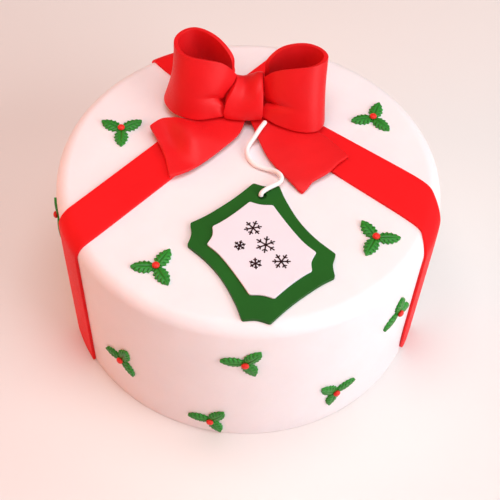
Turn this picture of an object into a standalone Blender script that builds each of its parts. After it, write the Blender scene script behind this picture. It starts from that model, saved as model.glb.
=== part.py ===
"""A round iced Christmas cake tied with red ribbon, with a bow, a hanging tag and sprigs of holly.

The origin is the centre of the cake's foot, with +Z up and the front towards -Y.
All sizes below are in millimetres.
"""

import math

import bmesh
import bpy
from mathutils import Vector

MM = 0.001
GAP = 0.3

# The cake
FOOT_RADIUS = 104.0
CAKE_RADIUS = 105.0
CAKE_HEIGHT = 107.8
EDGE_RADIUS = 8.0
FOOT_CHAMFER = 1.0
CAKE_SEGMENTS = 72
EDGE_SEGMENTS = 5
TOP_RADIUS = CAKE_RADIUS - EDGE_RADIUS
WALL_HEIGHT = CAKE_HEIGHT - EDGE_RADIUS

# The ribbon strips on the cake
STRIP_THICKNESS = 1.5
STRIP_FOOT = 0.6
STRIP_COLUMNS = 4
MIDDLE_WALL_LEVEL = 50.0
LONG_STRIP_ROWS = 5
SHORT_STRIP_ROWS = 3

# The left and the right edge of each arm of a ribbon, as it goes out, with the azimuth where the edge
# leaves the flat top and its azimuth on the wall
FRONT_LEFT_ARM = ((-145.5, -145.3), (-161.0, -158.9))
BACK_RIGHT_ARM = ((81.0, 78.0), (65.4, 65.0))
FRONT_RIGHT_ARM = ((-2.9, -14.0), (-21.3, -28.2))
BACK_LEFT_ARM = ((125.9, 125.4), (109.5, 111.0))

# Where the two edges of a short strip start on the flat top, under the bow
FRONT_RIGHT_START = ((12.4, 53.5), (-2.05, 36.3))
BACK_LEFT_START = ((-26.2, 47.8), (-9.2, 68.1))

# The front right strip is cut at a slant, and its right corner ends this much higher
SLANTED_CUT = 12.0

# The bow, whose heights are measured from the cake's top
BOW_THICKNESS = 2.4
KNOT_FOOT = 4.9
KNOT_LEFT_FOOT = -15.2
KNOT_LEFT_TOP = -9.0
KNOT_RIGHT_FOOT = 5.4
KNOT_RIGHT_TOP = 5.0
KNOT_END_BULGE = 2.2
KNOT_SWELL = 1.0
KNOT_MIDDLE = (45.0, 10.0)
KNOT_HEIGHTS = (17.2, 15.6, 14.6, 15.6, 17.8, 19.4, 20.2)
LOOP_FRONT_CLEARANCE = 1.1
LOOP_BACK_CLEARANCE = 2.4
CREASE_DEPTH = 3.4
CREASE_PLACE = 0.37
CREASE_WIDTH = 0.075
CREASE_LENGTH = 2.6
LOOP_ROWS = (0.0, 0.14, 0.26, 0.32, 0.37, 0.42, 0.48, 0.62, 0.8, 1.0)
LOOP_STEPS = 3
SHEET_SHARP_ANGLE = 50
CAKE_SHARP_ANGLE = 30
MERGE_DISTANCE = 0.01
TAIL_THICKNESS = 2.2
TAIL_ROWS = (0.0, 0.25, 0.5, 0.75, 1.0)
TAIL_STEPS = 4

# The tag and its string
TAG_CENTRE = (7.9, -55.9)
TAG_THICKNESS = 1.8
INSET_THICKNESS = 0.8
HOLE_PLACE = (7.3, -20.1)
HOLE_RADIUS = 2.5
HOLE_SIDES = 16
STRING_RADIUS = 1.4
STRING_STEPS = 2

# The holly
LEAF_LENGTH = 12.5
LEAF_WIDTH = 7.6
LEAF_LEAN = 0.85
LEAF_FULLNESS = 0.7
LEAF_SPIKES = 4
LEAF_SPIKED_SHARE = 0.86
LEAF_SPIKE_LEAN = 0.35
LEAF_NOTCH = 0.7
LEAF_CROWN = 0.8
LEAF_TIP_LIFT = 0.5
LEAF_SPIKE_LIFT = 0.25
LEAF_VALLEY = 1.9
LEAF_THICKNESS = 0.7
LEAF_TURNS = (0.0, 122.0, 242.0)
BERRY_RADIUS = 2.0
BERRY_FLATNESS = 0.8

# A sprig on the top has its place x, y and the heading of its first leaf
TOP_HOLLY = (
    (-72.5, 25.2, 33.0),
    (68.8, 42.8, 72.0),
    (-44.9, -68.8, 61.0),
    (67.1, -43.9, 2.0),
)
# A sprig on the wall has its azimuth, its height and the heading of its first leaf
WALL_HOLLY = (
    (-128.5, 40.0, 68.0),
    (-88.8, 79.2, 53.0),
    (-98.5, 14.6, 55.0),
    (-59.8, 29.8, 14.0),
    (-38.2, 72.5, 89.0),
    (-169.5, 85.5, 95.0),
    (176.0, 36.0, 30.0),
    (157.0, 70.0, 100.0),
    (138.0, 28.0, 75.0),
    (95.0, 72.0, 90.0),
    (96.0, 26.0, 48.0),
    (52.0, 62.0, 10.0),
    (36.0, 24.0, 80.0),
    (18.0, 78.0, 55.0),
    (1.0, 36.0, 25.0),
)

# Each point of a loop's rim and foot is x, y and the height above the cake's top,
# from the front of the knot round the outer end to the back of the knot
LEFT_RIM = (
    (-9.4, 48.2, 24.6),
    (-16.6, 45.8, 34.0),
    (-27.6, 44.6, 37.4),
    (-38.3, 47.0, 38.0),
    (-43.7, 56.5, 38.2),
    (-41.0, 65.2, 38.2),
    (-33.0, 69.2, 38.2),
    (-21.5, 63.0, 37.6),
    (-12.2, 52.4, 33.6),
    (-10.2, 51.0, 22.4),
)
LEFT_FOOT = (
    (-16.7, 34.6, 6.0),
    (-23.0, 32.0, 6.0),
    (-32.0, 30.3, 6.1),
    (-43.0, 34.6, 5.6),
    (-49.4, 45.5, 4.8),
    (-46.5, 56.5, 4.0),
    (-35.0, 62.5, 3.6),
    (-27.0, 62.0, 3.6),
    (-22.0, 58.8, 4.2),
    (-18.0, 55.0, 5.4),
)
LEFT_BULGE = (0.0, 1.0, 1.2, 0.4, -2.0, -1.2, 0.0, 0.0, 0.0, 0.0)
RIGHT_RIM = (
    (5.6, 47.6, 23.6),
    (12.0, 44.8, 31.2),
    (21.5, 42.6, 35.6),
    (32.5, 43.2, 37.6),
    (39.2, 49.5, 38.2),
    (36.0, 56.6, 38.2),
    (27.0, 59.8, 38.4),
    (15.0, 57.4, 37.0),
    (7.3, 53.0, 31.0),
    (5.6, 51.6, 24.0),
)
RIGHT_FOOT = (
    (6.9, 35.0, 6.0),
    (15.0, 29.0, 6.0),
    (27.0, 24.8, 5.8),
    (36.6, 26.4, 5.6),
    (39.8, 35.5, 4.8),
    (38.0, 46.5, 4.0),
    (29.5, 53.5, 3.6),
    (19.0, 55.5, 3.6),
    (10.5, 55.0, 4.4),
    (6.6, 53.8, 5.4),
)
RIGHT_BULGE = (0.0, 1.0, 1.2, 0.6, -0.6, -0.6, 0.0, 0.0, 0.0, 0.0)

# Each row of a tail is x, y and height at its left edge, middle and right edge, from the knot out
LEFT_TAIL = (
    ((-3.2, 36.0, 3.4), (-10.0, 40.0, 3.4), (-16.5, 44.0, 3.4)),
    ((-7.4, 21.8, 3.1), (-21.0, 27.2, 3.6), (-35.0, 32.6, 3.6)),
    ((-22.0, 4.2, 3.6), (-32.6, 17.4, 7.8), (-43.0, 29.2, 7.4)),
    ((-33.0, -6.2, 3.5), (-41.6, 12.0, 3.7), (-50.2, 29.2, 6.4)),
    ((-43.0, -11.4, 3.4), (-47.6, 6.4, 4.4), (-56.4, 23.2, 6.4)),
)
RIGHT_TAIL = (
    ((-1.4, 36.0, 3.3), (5.0, 40.5, 3.4), (11.5, 44.5, 3.4)),
    ((4.4, 19.4, 2.6), (15.5, 27.0, 3.4), (26.0, 35.5, 3.3)),
    ((11.4, 4.4, 2.0), (27.0, 13.4, 4.2), (41.0, 24.0, 3.4)),
    ((28.4, -17.2, 1.8), (40.6, -3.6, 3.6), (54.0, 9.4, 3.5)),
)

# The side of the knot, as depth and share of its height
KNOT_SIDE = (
    (33.2, 0.0),
    (31.6, 0.09),
    (32.0, 0.32),
    (35.0, 0.62),
    (39.6, 0.87),
    (44.6, 0.98),
    (50.0, 1.0),
    (54.2, 0.86),
    (57.0, 0.6),
    (58.0, 0.3),
    (57.0, 0.04),
    (54.0, 0.0),
)

# Half of each outline of the tag about its centre; the other half is the same, turned by 180 degrees
PLAQUE_HALF = (
    (-5.5, 44.4),
    (1.2, 42.5),
    (8.4, 43.2),
    (12.2, 33.0),
    (19.2, 19.5),
    (27.8, 8.5),
    (38.0, -0.8),
    (36.4, -7.9),
    (37.4, -15.2),
    (29.0, -21.0),
    (16.1, -32.6),
)
INSET_HALF = (
    (-7.1, 30.7),
    (-1.3, 29.0),
    (5.3, 29.0),
    (10.0, 21.3),
    (16.7, 11.3),
    (22.1, 4.4),
    (28.0, -1.0),
    (25.5, -7.1),
    (25.8, -12.9),
    (21.0, -16.5),
    (14.3, -22.8),
)

# The string's route from under the bow to the tag's hole, as x, y and height above the cake's top
STRING_ROUTE = (
    (7.6, 30.4, 6.3),
    (4.8, 25.2, 6.1),
    (2.4, 20.6, 5.2),
    (0.1, 17.8, 3.0),
    (-1.8, 14.2, 1.8),
    (-1.6, 9.8, 1.7),
    (0.2, 4.9, 1.7),
    (3.9, 1.3, 1.7),
    (8.1, -0.3, 1.8),
    (12.8, -2.2, 2.7),
    (16.0, -5.4, 4.0),
    (17.5, -8.6, 4.0),
    (16.3, -11.7, 3.9),
    (13.1, -14.1, 3.9),
    (9.2, -17.0, 3.9),
    (6.9, -19.3, 3.5),
    (6.6, -20.2, 1.9),
)


# Colour and roughness of each sugar paste
PASTES = {
    "icing_white": ((0.88, 0.82, 0.84), 0.5),
    "ribbon_red": ((0.82, 0.01, 0.013), 0.42),
    "bow_red": ((0.73, 0.009, 0.012), 0.4),
    "leaf_green": ((0.022, 0.25, 0.022), 0.5),
    "berry_red": ((0.75, 0.03, 0.02), 0.35),
    "plaque_green": ((0.014, 0.11, 0.012), 0.45),
    "inset_white": ((0.8, 0.74, 0.8), 0.55),
    "string_white": ((0.92, 0.87, 0.87), 0.5),
}


def clear_scene():
    """Remove every object, so that the part stands alone."""
    for thing in list(bpy.data.objects):
        bpy.data.objects.remove(thing, do_unlink=True)


def make_material(name, colour, roughness):
    """A plain Principled material without metal."""
    material = bpy.data.materials.new(name)
    material.use_nodes = True
    shader = material.node_tree.nodes["Principled BSDF"]
    shader.inputs["Base Color"].default_value = (*colour, 1.0)
    shader.inputs["Roughness"].default_value = roughness
    shader.inputs["Metallic"].default_value = 0.0
    material.diffuse_color = (*colour, 1.0)
    return material


def add_object(name, data, material):
    """Link an object that holds the given mesh or curve."""
    thing = bpy.data.objects.new(name, data)
    data.materials.append(material)
    bpy.context.scene.collection.objects.link(thing)
    return thing


def mesh_from_bmesh(name, work):
    """Turn a bmesh into a mesh with its faces pointing out."""
    bmesh.ops.recalc_face_normals(work, faces=work.faces)
    mesh = bpy.data.meshes.new(name)
    work.to_mesh(mesh)
    work.free()
    return mesh


def shade_smooth(mesh, angle):
    """Smooth shading with sharp edges above the angle."""
    mesh.shade_smooth()
    mesh.set_sharp_from_angle(angle=math.radians(angle))


def mix(first, second, share):
    """The value or vector between two others."""
    return first * (1.0 - share) + second * share


def ease(share):
    """A smooth step from 0 to 1."""
    share = min(max(share, 0.0), 1.0)
    return share * share * (3.0 - 2.0 * share)


def smooth_points(points, steps):
    """Points along a smooth curve through the given ones, with the given steps between each two."""
    knots = [Vector(point) for point in points]
    knots = [knots[0] * 2.0 - knots[1]] + knots + [knots[-1] * 2.0 - knots[-2]]
    curve = []
    for index in range(1, len(knots) - 2):
        before, start, end, after = knots[index - 1:index + 3]
        for step in range(steps):
            t = step / steps
            pull = (end - before) * t + (before * 2.0 - start * 5.0 + end * 4.0 - after) * t ** 2
            curve.append(start + (pull + (start * 3.0 - before - end * 3.0 + after) * t ** 3) * 0.5)
    curve.append(knots[-2])
    return curve


def heading_vector(degrees):
    """The unit vector in plan with the given heading."""
    return Vector((math.cos(math.radians(degrees)), math.sin(math.radians(degrees))))


def wall_radius(height):
    """The cake's radius at a height on its slightly tapered wall."""
    return mix(FOOT_RADIUS, CAKE_RADIUS, height / WALL_HEIGHT)


def on_cake(path, azimuth, lift):
    """The point a path's length up from the foot, over the wall and the rounded edge."""
    outward = heading_vector(azimuth)
    if path <= WALL_HEIGHT:
        radius = wall_radius(path) + lift
        return Vector((outward.x * radius, outward.y * radius, path))
    tilt = min((path - WALL_HEIGHT) / EDGE_RADIUS, math.pi / 2)
    radius = TOP_RADIUS + (EDGE_RADIUS + lift) * math.cos(tilt)
    height = WALL_HEIGHT + (EDGE_RADIUS + lift) * math.sin(tilt)
    return Vector((outward.x * radius, outward.y * radius, height))


def above_top(point):
    """A point given with its height above the cake's top, in the cake's frame."""
    return Vector((point[0], point[1], CAKE_HEIGHT + point[2]))


def sheet_mesh(name, rows):
    """A triangulated open sheet through a grid of points in millimetres."""
    work = bmesh.new()
    grid = [[work.verts.new(point * MM) for point in row] for row in rows]
    for first, second in zip(grid, grid[1:]):
        for index in range(len(first) - 1):
            work.faces.new((first[index], first[index + 1], second[index + 1], second[index]))
    bmesh.ops.triangulate(work, faces=work.faces)
    mesh = bpy.data.meshes.new(name)
    work.to_mesh(mesh)
    work.free()
    shade_smooth(mesh, SHEET_SHARP_ANGLE)
    return mesh


def add_sheet(name, rows, thickness, offset, material):
    """A sheet of the given thickness, grown to one side (1 or -1) or to both (0)."""
    thing = add_object(name, sheet_mesh(name, rows), material)
    solid = thing.modifiers.new("Thickness", "SOLIDIFY")
    solid.thickness = thickness * MM
    solid.offset = offset
    solid.use_quality_normals = True
    return thing


def build_cake(material):
    """The iced cake: a profile turned about the upright axis."""
    profile = [(0.0, 0.0), (FOOT_RADIUS - FOOT_CHAMFER, 0.0), (wall_radius(FOOT_CHAMFER), FOOT_CHAMFER)]
    for step in range(EDGE_SEGMENTS + 1):
        tilt = math.pi / 2 * step / EDGE_SEGMENTS
        radius = TOP_RADIUS + EDGE_RADIUS * math.cos(tilt)
        profile.append((radius, WALL_HEIGHT + EDGE_RADIUS * math.sin(tilt)))
    profile.append((0.0, CAKE_HEIGHT))
    work = bmesh.new()
    verts = [work.verts.new((x * MM, 0.0, z * MM)) for x, z in profile]
    edges = [work.edges.new(pair) for pair in zip(verts, verts[1:])]
    bmesh.ops.spin(
        work,
        geom=verts + edges,
        cent=(0.0, 0.0, 0.0),
        axis=(0.0, 0.0, 1.0),
        angle=math.tau,
        steps=CAKE_SEGMENTS,
    )
    bmesh.ops.remove_doubles(work, verts=work.verts, dist=MERGE_DISTANCE * MM)
    mesh = mesh_from_bmesh("cake", work)
    shade_smooth(mesh, CAKE_SHARP_ANGLE)
    add_object("cake", mesh, material)


def knot_edge(side, rise):
    """Where the knot's left (-1) or right (1) end is, at a share of its height."""
    bulge = KNOT_END_BULGE * math.sin(math.pi * rise)
    if side < 0:
        return mix(KNOT_LEFT_FOOT, KNOT_LEFT_TOP, rise ** 2) - bulge
    return mix(KNOT_RIGHT_FOOT, KNOT_RIGHT_TOP, rise) + bulge / 2


def arm_column(rim_azimuth, wall_azimuth, foot):
    """One line of an arm, from its foot up the wall and over the rounded edge to the flat top."""
    column = [on_cake(level, wall_azimuth, GAP) for level in (foot, MIDDLE_WALL_LEVEL)]
    for step in range(EDGE_SEGMENTS + 1):
        tilt = math.pi / 2 * step / EDGE_SEGMENTS
        azimuth = mix(rim_azimuth, wall_azimuth, math.cos(tilt))
        column.append(on_cake(WALL_HEIGHT + EDGE_RADIUS * tilt, azimuth, GAP))
    return column


def arm_columns(arm, slanted_cut):
    """The lines of one arm across its width, from its left edge to its right edge as it goes out."""
    columns = []
    for step in range(STRIP_COLUMNS + 1):
        share = step / STRIP_COLUMNS
        rim_azimuth, wall_azimuth = (mix(*pair, share) for pair in zip(*arm))
        foot = STRIP_FOOT + slanted_cut * max(share * 2.0 - 1.0, 0.0) ** 2
        columns.append(arm_column(rim_azimuth, wall_azimuth, foot))
    return columns


def straight_points(start, end, count):
    """Evenly spaced points between two others."""
    return [mix(start, end, step / (count + 1)) for step in range(1, count + 1)]


def build_long_strip(material):
    """The strip that runs from the front left, over the top, to the back right."""
    rows = []
    near_columns = arm_columns(FRONT_LEFT_ARM, 0.0)
    far_columns = arm_columns(BACK_RIGHT_ARM, 0.0)
    for near, far in zip(near_columns, reversed(far_columns)):
        rows.append(near + straight_points(near[-1], far[-1], LONG_STRIP_ROWS) + far[::-1])
    add_sheet("ribbon_long", rows, STRIP_THICKNESS, 1.0, material)


def build_short_strip(name, arm, start, slanted_cut, material):
    """A strip from the wall to the edge of the long one, under the bow."""
    left, right = (Vector(point) for point in start)
    rows = []
    for step, column in enumerate(arm_columns(arm, slanted_cut)):
        rim = column[-1]
        end = Vector((*mix(left, right, step / STRIP_COLUMNS), rim.z))
        rows.append(column + straight_points(rim, end, SHORT_STRIP_ROWS) + [end])
    add_sheet(name, rows, STRIP_THICKNESS, 1.0, material)


def end_shift(low, high, place, side, clearance):
    """How far a loop's end moves along X so that it follows the knot's end."""
    knot_top = KNOT_HEIGHTS[0] if side < 0 else KNOT_HEIGHTS[-1]
    point = mix(low, high, place)
    rise = min(max((point.z - KNOT_FOOT) / knot_top, 0.0), 1.0)
    return knot_edge(side, rise) + side * clearance - point.x


def loop_rows(rim, foot, bulge, side):
    """The middle surface of the left (-1) or right (1) loop, with a crease that starts at the knot."""
    rim_line = smooth_points(rim, LOOP_STEPS)
    foot_line = smooth_points(foot, LOOP_STEPS)
    bulge_line = smooth_points([(value, 0.0, 0.0) for value in bulge], LOOP_STEPS)
    last = len(rim_line) - 1
    rows = []
    for index in range(last + 1):
        before = max(index - 1, 0)
        after = min(index + 1, last)
        along = (rim_line[after] + foot_line[after]) - (rim_line[before] + foot_line[before])
        normal = along.cross(rim_line[index] - foot_line[index]).normalized() * side
        front = index <= last / 2
        end = 0 if front else last
        clearance = LOOP_FRONT_CLEARANCE if front else LOOP_BACK_CLEARANCE
        station = abs(index - end) / LOOP_STEPS
        depth = CREASE_DEPTH * (1.0 - ease(station / CREASE_LENGTH))
        row = []
        for place in LOOP_ROWS:
            fold = math.exp(-((place - CREASE_PLACE) / CREASE_WIDTH) ** 2)
            swell = bulge_line[index].x * math.sin(math.pi * place)
            point = mix(foot_line[index], rim_line[index], place) + normal * (swell - depth * fold)
            shift = end_shift(foot_line[end], rim_line[end], place, side, clearance)
            point.x += shift * max(1.0 - station, 0.0)
            row.append(above_top(point))
        rows.append(row)
    return rows


def build_loops(material):
    """The two loops of the bow, as bent strips that stand on their edges."""
    left = loop_rows(LEFT_RIM, LEFT_FOOT, LEFT_BULGE, -1)
    right = loop_rows(RIGHT_RIM, RIGHT_FOOT, RIGHT_BULGE, 1)
    add_sheet("bow_loop_left", left, BOW_THICKNESS, 0.0, material)
    add_sheet("bow_loop_right", right, BOW_THICKNESS, 0.0, material)


def build_tail(name, stations, material):
    """A tail of the bow: a flat strip that lies over the ribbon below it."""
    edges = [smooth_points([station[side] for station in stations], TAIL_STEPS) for side in range(3)]
    rows = []
    for left, middle, right in zip(*edges):
        row = []
        for place in TAIL_ROWS:
            outer = left * (1.0 - place) * (1.0 - 2.0 * place) + right * place * (2.0 * place - 1.0)
            row.append(above_top(outer + middle * 4.0 * place * (1.0 - place)))
        rows.append(row)
    add_sheet(name, rows, TAIL_THICKNESS, 0.0, material)


def build_knot(material):
    """The knot: a rounded roll between the two loops, with slanting ends and a dip in its top."""
    work = bmesh.new()
    middle = Vector(KNOT_MIDDLE)
    rings = []
    for step, top in enumerate(KNOT_HEIGHTS):
        share = step / (len(KNOT_HEIGHTS) - 1)
        swell = KNOT_SWELL * math.sin(math.pi * share) ** 0.5
        ring = []
        for depth, rise in KNOT_SIDE:
            place = Vector((depth, rise * top))
            if rise > 0.0:
                place += (place - middle).normalized() * swell
            across = mix(knot_edge(-1, rise), knot_edge(1, rise), share)
            point = above_top((across, place.x, KNOT_FOOT + place.y))
            ring.append(work.verts.new(point * MM))
        rings.append(ring)
    for first, second in zip(rings, rings[1:]):
        for index in range(len(first)):
            following = (index + 1) % len(first)
            work.faces.new((first[index], first[following], second[following], second[index]))
    work.faces.new(rings[0])
    work.faces.new(rings[-1])
    bmesh.ops.triangulate(work, faces=work.faces)
    mesh = mesh_from_bmesh("bow_knot", work)
    shade_smooth(mesh, SHEET_SHARP_ANGLE)
    add_object("bow_knot", mesh, material)


def build_string(material):
    """The string from the bow to the tag."""
    curve = bpy.data.curves.new("tag_string", "CURVE")
    curve.dimensions = "3D"
    curve.bevel_depth = STRING_RADIUS * MM
    curve.bevel_resolution = 2
    curve.use_fill_caps = True
    points = [above_top(point) * MM for point in smooth_points(STRING_ROUTE, STRING_STEPS)]
    spline = curve.splines.new("POLY")
    spline.points.add(len(points) - 1)
    for target, point in zip(spline.points, points):
        target.co = (*point, 1.0)
    add_object("tag_string", curve, material)


def tag_outline(half):
    """A tag outline in plan, whose second half is the first turned by 180 degrees."""
    centre = Vector(TAG_CENTRE)
    first = [Vector(point) for point in half]
    return [centre + point for point in first] + [centre - point for point in first]


def add_plate(name, outline, foot, thickness, material):
    """A flat plate with the given outline."""
    work = bmesh.new()
    corners = [work.verts.new((point.x * MM, point.y * MM, foot * MM)) for point in outline]
    face = work.faces.new(corners)
    grown = bmesh.ops.extrude_face_region(work, geom=[face])["geom"]
    raised = [item for item in grown if isinstance(item, bmesh.types.BMVert)]
    bmesh.ops.translate(work, verts=raised, vec=(0.0, 0.0, thickness * MM))
    return add_object(name, mesh_from_bmesh(name, work), material)


def build_tag(plaque_material, inset_material):
    """The plaque with its string hole, and the pale inset on it."""
    foot = CAKE_HEIGHT + GAP
    plaque = add_plate("tag_plaque", tag_outline(PLAQUE_HALF), foot, TAG_THICKNESS, plaque_material)
    work = bmesh.new()
    bmesh.ops.create_cone(
        work,
        cap_ends=True,
        segments=HOLE_SIDES,
        radius1=HOLE_RADIUS * MM,
        radius2=HOLE_RADIUS * MM,
        depth=TAG_THICKNESS * 3 * MM,
    )
    hole_centre = Vector((*HOLE_PLACE, foot + TAG_THICKNESS / 2)) * MM
    bmesh.ops.translate(work, verts=work.verts, vec=hole_centre)
    cutter = add_object("hole_cutter", mesh_from_bmesh("hole_cutter", work), plaque_material)
    cutter.hide_render = True
    cutter.display_type = "WIRE"
    cut = plaque.modifiers.new("String hole", "BOOLEAN")
    cut.operation = "DIFFERENCE"
    cut.object = cutter
    inset_foot = foot + TAG_THICKNESS + GAP
    add_plate("tag_inset", tag_outline(INSET_HALF), inset_foot, INSET_THICKNESS, inset_material)


def leaf_half_width(along):
    """The half width of a leaf at the tips of its spikes."""
    share = along / LEAF_LENGTH
    return LEAF_WIDTH / 2 * math.sin(math.pi * share ** LEAF_LEAN) ** LEAF_FULLNESS


def sprig_mesh(name, place):
    """Three joined holly leaves, laid on the cake by a function of plan and lift."""
    work = bmesh.new()
    step = LEAF_LENGTH * LEAF_SPIKED_SHARE / LEAF_SPIKES

    def vertex(along, aside, lift, turn):
        heading = heading_vector(turn)
        spot = heading * along + Vector((-heading.y, heading.x)) * aside
        return work.verts.new(place(spot.x, spot.y, GAP + lift) * MM)

    centre = vertex(0.0, 0.0, 0.0, 0.0)
    turns = list(LEAF_TURNS) + [LEAF_TURNS[0] + 360.0]
    valleys = [vertex(LEAF_VALLEY, 0.0, 0.0, sum(pair) / 2) for pair in zip(turns, turns[1:])]
    for index, turn in enumerate(LEAF_TURNS):
        ribs = [centre]
        for spike in range(1, LEAF_SPIKES + 1):
            along = spike * step
            lift = mix(0.0, LEAF_TIP_LIFT, along / LEAF_LENGTH)
            crown = LEAF_CROWN * math.sin(math.pi * along / LEAF_LENGTH)
            ribs.append(vertex(along, 0.0, lift + crown, turn))
        tip = vertex(LEAF_LENGTH, 0.0, LEAF_TIP_LIFT, turn)
        for side, base in ((1.0, valleys[index]), (-1.0, valleys[index - 1])):
            notch = base
            for spike in range(1, LEAF_SPIKES + 1):
                middle = (spike - LEAF_SPIKE_LEAN) * step
                point = vertex(middle, side * leaf_half_width(middle), LEAF_SPIKE_LIFT, turn)
                along = spike * step
                following = vertex(along, side * leaf_half_width(along) * LEAF_NOTCH, 0.0, turn)
                work.faces.new((notch, point, following))
                work.faces.new((ribs[spike - 1], notch, following))
                work.faces.new((ribs[spike - 1], following, ribs[spike]))
                notch = following
            work.faces.new((ribs[-1], notch, tip))
    return mesh_from_bmesh(name, work)


def add_berry(name, centre, outward, material):
    """A slightly flattened berry over the middle of a sprig."""
    work = bmesh.new()
    bmesh.ops.create_icosphere(work, subdivisions=2, radius=BERRY_RADIUS * MM)
    turn = Vector((0.0, 0.0, 1.0)).rotation_difference(outward).to_matrix()
    bmesh.ops.scale(work, vec=(1.0, 1.0, BERRY_FLATNESS), verts=work.verts)
    bmesh.ops.rotate(work, cent=(0.0, 0.0, 0.0), matrix=turn, verts=work.verts)
    bmesh.ops.translate(work, verts=work.verts, vec=centre * MM)
    mesh = mesh_from_bmesh(name, work)
    mesh.shade_smooth()
    add_object(name, mesh, material)


def add_sprig(name, place, outward, leaf_material, berry_material):
    """One sprig: three joined leaves and a berry."""
    mesh = sprig_mesh(f"{name}_leaves", place)
    up = Vector(outward)
    facing = sum((face.normal * face.area for face in mesh.polygons), Vector())
    if facing.dot(up) < 0:
        mesh.flip_normals()
    leaves = add_object(f"{name}_leaves", mesh, leaf_material)
    solid = leaves.modifiers.new("Thickness", "SOLIDIFY")
    solid.thickness = LEAF_THICKNESS * MM
    solid.offset = 1.0
    height = GAP + LEAF_THICKNESS + GAP + BERRY_RADIUS * BERRY_FLATNESS
    add_berry(f"{name}_berry", place(0.0, 0.0, height), up, berry_material)


def build_holly(leaf_material, berry_material):
    """The sprigs on the top, then those round the wall."""
    for number, (x, y, turn) in enumerate(TOP_HOLLY, 1):

        def on_top(right, up, lift, x=x, y=y, turn=turn):
            spot = Vector((x, y)) + heading_vector(turn) * right + heading_vector(turn + 90) * up
            return Vector((spot.x, spot.y, CAKE_HEIGHT + lift))

        add_sprig(f"holly_top_{number}", on_top, (0.0, 0.0, 1.0), leaf_material, berry_material)
    for number, (azimuth, height, turn) in enumerate(WALL_HOLLY, 1):

        def on_wall(right, up, lift, azimuth=azimuth, height=height, turn=turn):
            spot = heading_vector(turn) * right + heading_vector(turn + 90) * up
            level = height + spot.y
            return on_cake(level, azimuth + math.degrees(spot.x / CAKE_RADIUS), lift)

        outward = heading_vector(azimuth)
        add_sprig(f"holly_wall_{number}", on_wall, (*outward, 0.0), leaf_material, berry_material)


def main():
    clear_scene()
    paste = {name: make_material(name, *look) for name, look in PASTES.items()}
    build_cake(paste["icing_white"])
    ribbon = paste["ribbon_red"]
    build_long_strip(ribbon)
    build_short_strip("ribbon_front_right", FRONT_RIGHT_ARM, FRONT_RIGHT_START, SLANTED_CUT, ribbon)
    build_short_strip("ribbon_back_left", BACK_LEFT_ARM, BACK_LEFT_START, 0.0, ribbon)
    build_loops(paste["bow_red"])
    build_knot(paste["bow_red"])
    build_tail("bow_tail_left", LEFT_TAIL, paste["bow_red"])
    build_tail("bow_tail_right", RIGHT_TAIL, paste["bow_red"])
    build_string(paste["string_white"])
    build_tag(paste["plaque_green"], paste["inset_white"])
    build_holly(paste["leaf_green"], paste["berry_red"])


main()
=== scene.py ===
"""A round iced Christmas cake with an icing ribbon and bow, a hanging tag and sprigs of holly.

Laid out as a Blender add-on and run as a script. Everything stands in the frame's own axes. The pieces'
sizes are in millimetres, and those of the stage and the user's own settings are in metres.
"""

import math

import bpy
from bpy.props import FloatProperty, FloatVectorProperty, IntProperty, PointerProperty
from mathutils import Euler, Matrix, Vector


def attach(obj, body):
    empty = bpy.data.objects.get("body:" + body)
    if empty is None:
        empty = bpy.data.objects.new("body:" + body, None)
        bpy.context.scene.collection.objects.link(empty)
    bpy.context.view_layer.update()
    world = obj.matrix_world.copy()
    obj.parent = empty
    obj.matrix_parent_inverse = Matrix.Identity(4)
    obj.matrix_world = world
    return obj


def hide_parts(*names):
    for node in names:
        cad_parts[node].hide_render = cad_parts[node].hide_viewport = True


bl_info = {
    "name": "Christmas Cake",
    "version": (1, 0, 0),
    "blender": (4, 5, 0),
    "location": "3D View > Sidebar > Cake",
    "description": "Dresses a round iced cake with its ribbon, bow, tag and holly",
    "category": "Object",
}

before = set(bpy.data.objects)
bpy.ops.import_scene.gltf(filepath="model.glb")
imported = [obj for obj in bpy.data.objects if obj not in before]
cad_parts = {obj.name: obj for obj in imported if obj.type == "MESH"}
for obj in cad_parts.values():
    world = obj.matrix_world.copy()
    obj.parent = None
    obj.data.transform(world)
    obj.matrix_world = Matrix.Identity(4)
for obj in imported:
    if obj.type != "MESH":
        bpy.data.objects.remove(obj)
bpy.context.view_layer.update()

MM = 0.001
SEAT = 0.02
MERGE_DISTANCE = 0.01
SEATED_LIFT = 0.6
SHARP_ANGLE = 45.0
QUAD_FACE_ANGLE = 40.0
QUAD_SHAPE_ANGLE = 60.0
FLAT_FACE_WEIGHT = 100
LEVEL_TOLERANCE = 0.1
UP_FACING = 0.99

# The part's own sizes, which the new pieces follow
FOOT_RADIUS = 104.0
CAKE_RADIUS = 105.0
CAKE_HEIGHT = 107.8
EDGE_RADIUS = 8.0
FOOT_CHAMFER = 1.0
FOOT_SEGMENTS = 3
TOP_RINGS = 5
TOP_RADIUS = CAKE_RADIUS - EDGE_RADIUS
WALL_HEIGHT = CAKE_HEIGHT - EDGE_RADIUS
PLAQUE_TOP = 109.9
INSET_TOP = 111.0
TAG_CENTRE = (7.9, -55.9)
TAG_HEADING = -55.0
TAG_CORNER_RADIUS = 0.8
HOLE_PLACE = (7.3, -20.1)
HOLE_RADIUS = 2.5
# The hole stops at this height, so a floor of dark green paste closes it and stands in for the shade inside
# a hole through to the icing
HOLE_FLOOR = 108.3
HOLE_SIDES = 40
STRING_EDGE = 0.3
LEAF_LENGTH = 12.9
LEAF_WIDTH = 8.2
LEAF_TURNS = (0.0, 122.0, 242.0)
LEAF_SKEW = 0.85
LEAF_FULLNESS = 0.65
LEAF_SHARP_ANGLE = 50.0
STEPS_PER_SPIKE = 9
STEPS_ACROSS = 22
SPIKED_SHARE = 0.9
SPIKE_PLACE = 0.62
NOTCH_SHARE = 0.72
VEIN_SLANT = 0.7
VEIN_DEPTH = 0.6
VEIN_PLACE = 0.6
VEIN_REACH = 0.24
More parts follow.
